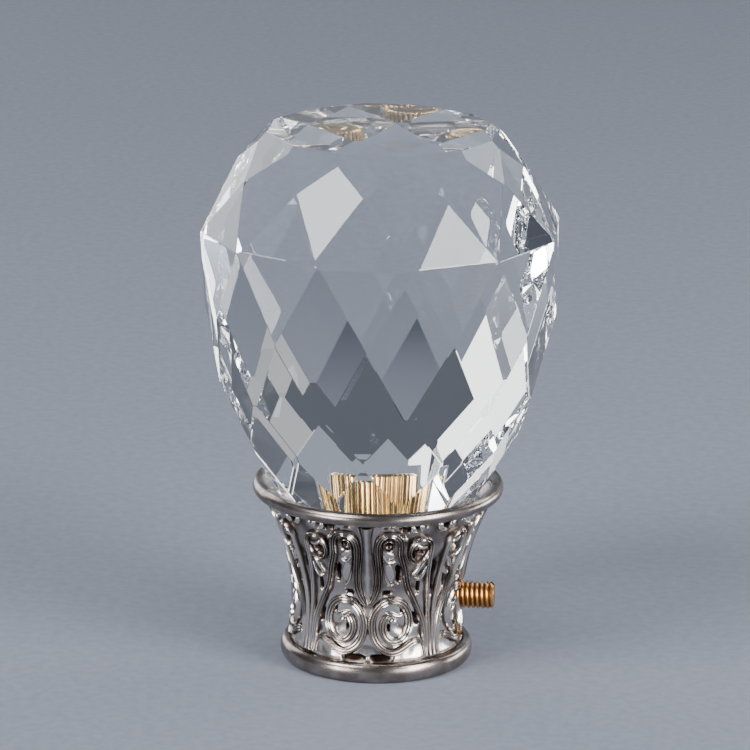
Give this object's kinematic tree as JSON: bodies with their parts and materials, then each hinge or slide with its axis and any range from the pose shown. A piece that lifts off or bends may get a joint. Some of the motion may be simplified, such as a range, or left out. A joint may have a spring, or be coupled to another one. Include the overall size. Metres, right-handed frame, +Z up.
{
  "type": "curtain rod finial",
  "caption": "Faceted clear crystal bulb on a flared plated collar with scroll relief, which slides over a curtain rod's end and is held by a brass grub screw.",
  "frame": {"origin": "on the axis, in the plane of the underside of the collar's foot", "axes": "+Z up along the axis from the foot to the crystal's table, +X along the grub screw, outwards"},
  "size_m": [0.05, 0.0501, 0.0779],
  "materials": {
    "cut_crystal": "clear optical crystal glass, ground flat on every facet and polished",
    "insert_brass": "pale bright brass, turned and straight knurled",
    "plated_zinc": "cast zinc, nickel plated, satin on the rim and foot, bright on the relief and dark in its pits",
    "screw_brass": "golden brown brass with a machine-cut thread, a little dull in its roots"
  },
  "bodies": {
    "root": {"crystal": "cut_crystal", "insert": "insert_brass", "collar": "plated_zinc", "grub_screw": "screw_brass"}
  },
  "joints": []
}
